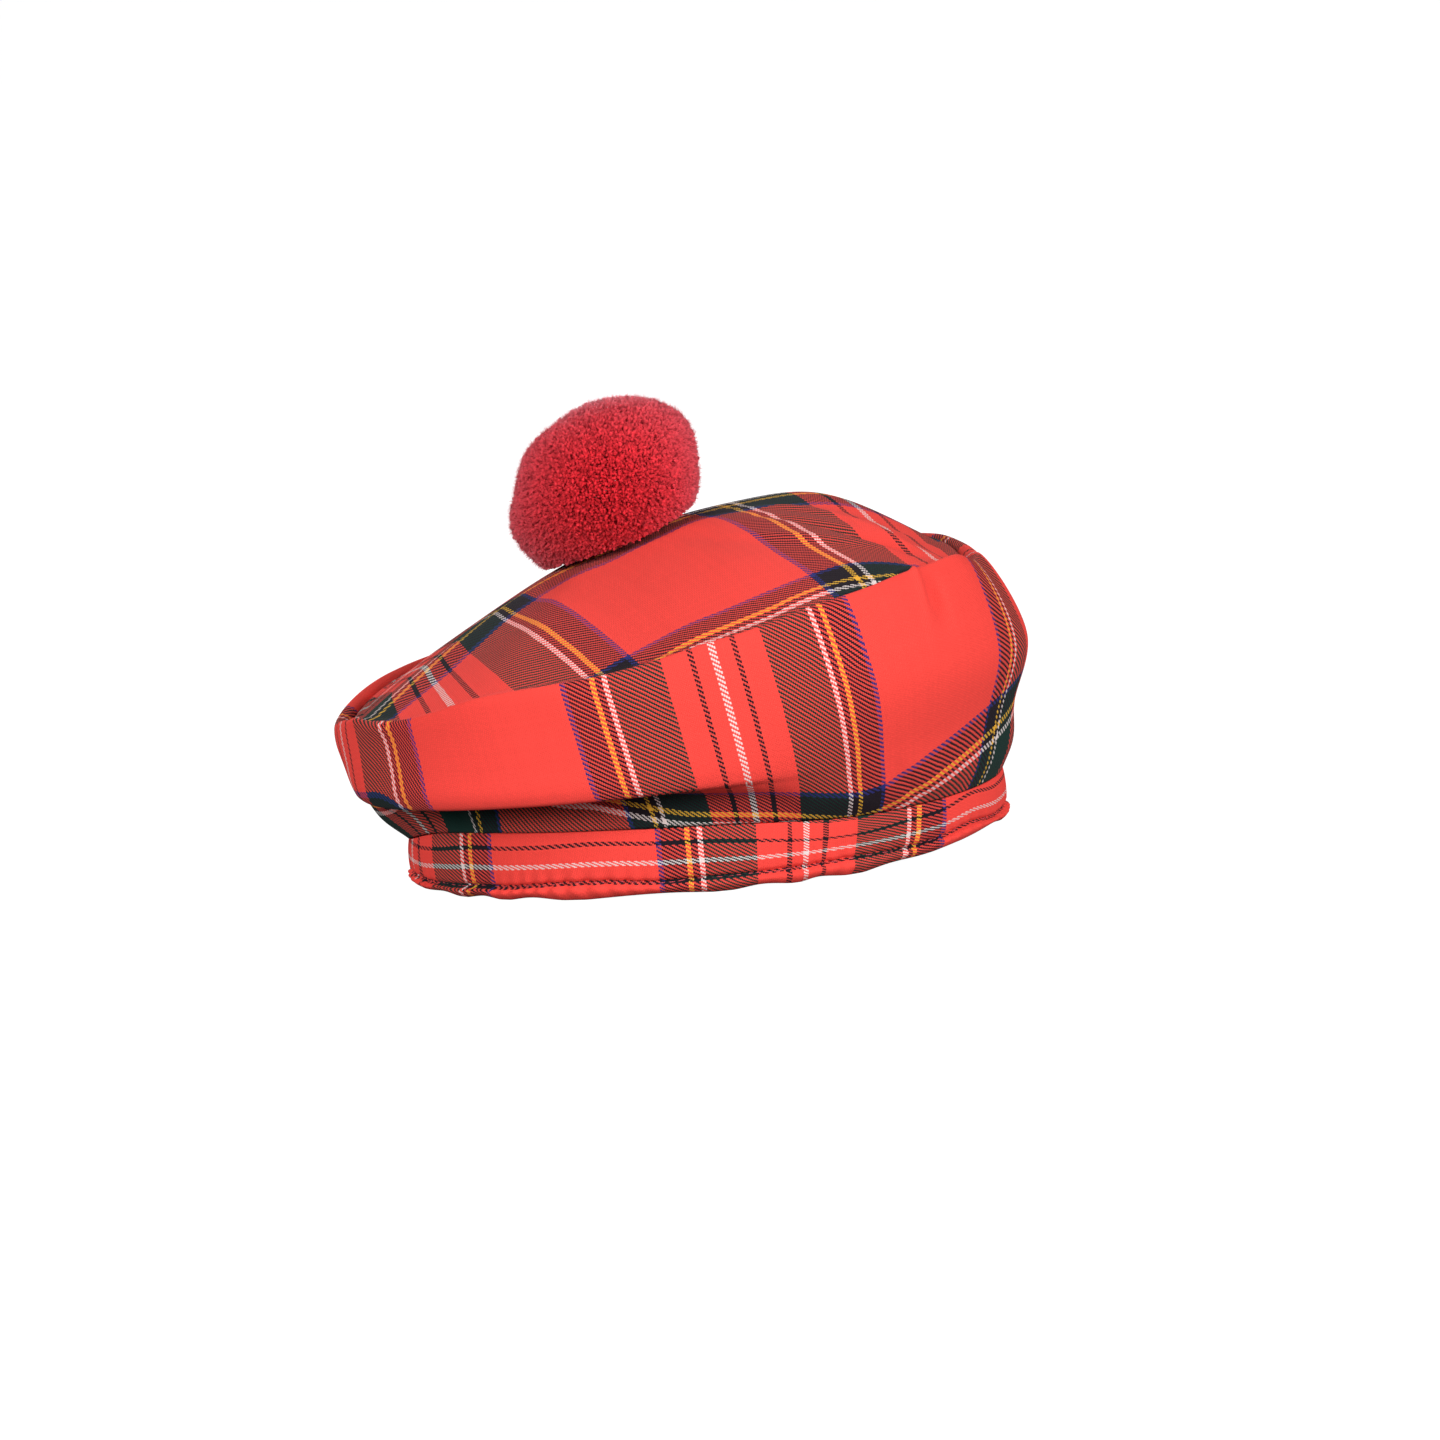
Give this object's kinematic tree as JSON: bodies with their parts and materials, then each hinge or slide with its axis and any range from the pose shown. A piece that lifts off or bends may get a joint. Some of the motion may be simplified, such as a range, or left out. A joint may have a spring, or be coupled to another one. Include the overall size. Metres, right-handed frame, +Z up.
{
  "type": "tam o shanter",
  "caption": "Soft tartan bonnet with a domed round top, a full slumped side, a narrow stitched headband and a round yarn pompom.",
  "frame": {"origin": "middle of the bonnet's footprint box, on the surface that it stands on", "axes": "+X to the right seen from the front, along the headband's long axis; +Z up; the front is towards -Y"},
  "size_m": [0.2302, 0.2076, 0.155],
  "materials": {
    "tartan_cloth": "twill woven tartan, matt",
    "pompom_yarn": "cut wool yarn, matt"
  },
  "bodies": {
    "root": {"headband": "tartan_cloth", "crown_side": "tartan_cloth", "crown_top": "tartan_cloth", "pompom": "pompom_yarn"}
  },
  "joints": []
}
